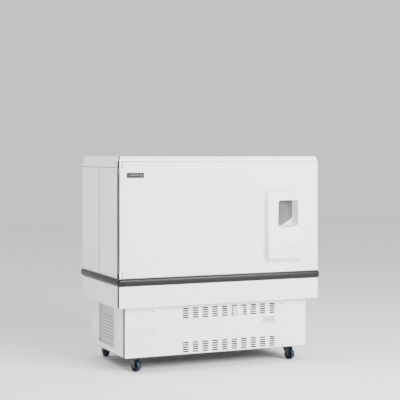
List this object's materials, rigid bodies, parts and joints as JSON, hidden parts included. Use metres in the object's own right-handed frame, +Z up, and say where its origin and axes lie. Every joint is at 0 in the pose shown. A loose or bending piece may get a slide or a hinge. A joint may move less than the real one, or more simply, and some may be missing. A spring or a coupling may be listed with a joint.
{
  "type": "laboratory incubator",
  "caption": "Floor-standing refrigerated laboratory incubator: wide insulated cabinet with a hinged front door, bumper, vented base and swivel casters.",
  "frame": {"origin": "on the floor under the centre of the object's bounding box", "axes": "+Z up, +Y from the door to the back, +X to the right of someone facing the door; the body's width lies along X"},
  "size_m": [1.222, 0.695, 1.168],
  "materials": {
    "white_sheet": "white powder coat, fine texture, satin",
    "white_moulding": "white moulded plastic, satin",
    "black_plastic": "black plastic, matt",
    "bumper_grey": "dark grey soft vinyl, satin",
    "seal_rubber": "black soft seal",
    "stainless": "brushed stainless",
    "foam": "rigid polyurethane foam",
    "zinc_steel": "bright zinc plate",
    "dark_steel": "black paint, gloss",
    "grey_steel": "grey primer paint",
    "fin_aluminium": "plain mill finish",
    "copper": "bright copper tube",
    "blue_tread": "blue elastic tread",
    "caster_black": "black nylon",
    "badge_black": "black gloss, blank",
    "plate_grey": "pale grey label, blank",
    "button_grey": "grey button",
    "control_grey": "dark grey bezel"
  },
  "bodies": {
    "cabinet": {"top_cap": "white_sheet", "top_rail": "white_sheet", "side_panel_left": "white_sheet", "side_panel_right": "white_sheet", "rear_wrap": "white_sheet", "front_frame": "black_plastic", "insulation": "foam", "inner_liner": "stainless", "cabinet_deck": "white_sheet", "bumper_rail": "bumper_grey", "shelf_supports": "stainless", "shelf_upper": "stainless", "shelf_lower": "stainless", "air_duct": "stainless", "evaporator": "fin_aluminium", "heater": "dark_steel", "fan_motors": "dark_steel", "plinth_front": "white_sheet", "plinth_wrap": "white_sheet", "corner_trim": "black_plastic", "base_frame": "white_sheet", "front_cover": "white_sheet", "base_side_left": "white_sheet", "base_side_right": "white_sheet", "base_back": "white_sheet", "base_pan": "grey_steel", "compressor": "dark_steel", "condenser": "fin_aluminium", "refrigerant_pipes": "copper", "electrical_box": "white_moulding", "cover_screws": "zinc_steel", "rating_plate": "plate_grey", "mains_inlet": "black_plastic", "control_panel": "control_grey", "hinge_brackets": "white_sheet", "caster_plates": "zinc_steel"},
    "door": {"door_skin": "white_sheet", "door_foam": "foam", "door_inner_panel": "white_moulding", "door_gasket": "seal_rubber", "hinge_bushes": "white_moulding", "door_handle": "white_moulding", "badge_plate": "badge_black"},
    "circulation_fan": {"circulation_fan": "black_plastic"},
    "condenser_fan": {"condenser_fan": "black_plastic"},
    "power_switch": {"power_switch": "caster_black"},
    "button_up": {"button_up": "button_grey"},
    "button_down": {"button_down": "button_grey"},
    "caster_front_left": {"caster_fork_front_left": "zinc_steel"},
    "wheel_front_left": {"wheel_hub_front_left": "caster_black", "wheel_tread_front_left": "blue_tread"},
    "caster_front_right": {"caster_fork_front_right": "zinc_steel"},
    "wheel_front_right": {"wheel_hub_front_right": "caster_black", "wheel_tread_front_right": "blue_tread"},
    "caster_rear_left": {"caster_fork_rear_left": "zinc_steel"},
    "wheel_rear_left": {"wheel_hub_rear_left": "caster_black", "wheel_tread_rear_left": "blue_tread"},
    "caster_rear_right": {"caster_fork_rear_right": "zinc_steel"},
    "wheel_rear_right": {"wheel_hub_rear_right": "caster_black", "wheel_tread_rear_right": "blue_tread"}
  },
  "joints": [
    {"name": "door_hinge", "type": "hinge", "parent": "cabinet", "child": "door", "pos_m": [-0.591, -0.2995, 0.516], "axis": [0, 0, -1], "range_deg": [0, 95]},
    {"name": "circulation_fan_spin", "type": "hinge", "parent": "cabinet", "child": "circulation_fan", "pos_m": [0, 0.2165, 0.8335], "axis": [0, 1, 0], "continuous": true},
    {"name": "condenser_fan_spin", "type": "hinge", "parent": "cabinet", "child": "condenser_fan", "pos_m": [-0.07, -0.1365, 0.196], "axis": [0, 1, 0], "continuous": true},
    {"name": "power_rocker", "type": "hinge", "parent": "cabinet", "child": "power_switch", "pos_m": [0.606, -0.0875, 0.417], "axis": [0, -1, 0], "range_deg": [0, 14]},
    {"name": "button_down_press", "type": "slide", "parent": "cabinet", "child": "button_down", "axis": [-1, 0, 0], "range_m": [0, 0.0015], "stiffness_N_per_m": 400},
    {"name": "button_up_press", "type": "slide", "parent": "cabinet", "child": "button_up", "axis": [-1, 0, 0], "range_m": [0, 0.0015], "stiffness_N_per_m": 400},
    {"name": "swivel_front_left", "type": "hinge", "parent": "cabinet", "child": "caster_front_left", "pos_m": [-0.479, -0.1905, 0.081], "axis": [0, 0, 1], "continuous": true},
    {"name": "roll_front_left", "type": "hinge", "parent": "caster_front_left", "child": "wheel_front_left", "pos_m": [-0.47005, -0.2106, 0.0315], "axis": [0.9135, 0.4067, 0], "continuous": true},
    {"name": "swivel_front_right", "type": "hinge", "parent": "cabinet", "child": "caster_front_right", "pos_m": [0.461, -0.1905, 0.081], "axis": [0, 0, 1], "continuous": true},
    {"name": "roll_front_right", "type": "hinge", "parent": "caster_front_right", "child": "wheel_front_right", "pos_m": [0.46995, -0.2106, 0.0315], "axis": [0.9135, 0.4067, 0], "continuous": true},
    {"name": "swivel_rear_left", "type": "hinge", "parent": "cabinet", "child": "caster_rear_left", "pos_m": [-0.467, 0.2805, 0.081], "axis": [0, 0, 1], "continuous": true},
    {"name": "roll_rear_left", "type": "hinge", "parent": "caster_rear_left", "child": "wheel_rear_left", "pos_m": [-0.47006, 0.30229, 0.0315], "axis": [-0.9903, -0.1392, 0], "continuous": true},
    {"name": "swivel_rear_right", "type": "hinge", "parent": "cabinet", "child": "caster_rear_right", "pos_m": [0.473, 0.2805, 0.081], "axis": [0, 0, 1], "continuous": true},
    {"name": "roll_rear_right", "type": "hinge", "parent": "caster_rear_right", "child": "wheel_rear_right", "pos_m": [0.46994, 0.30229, 0.0315], "axis": [-0.9903, -0.1392, 0], "continuous": true}
  ]
}
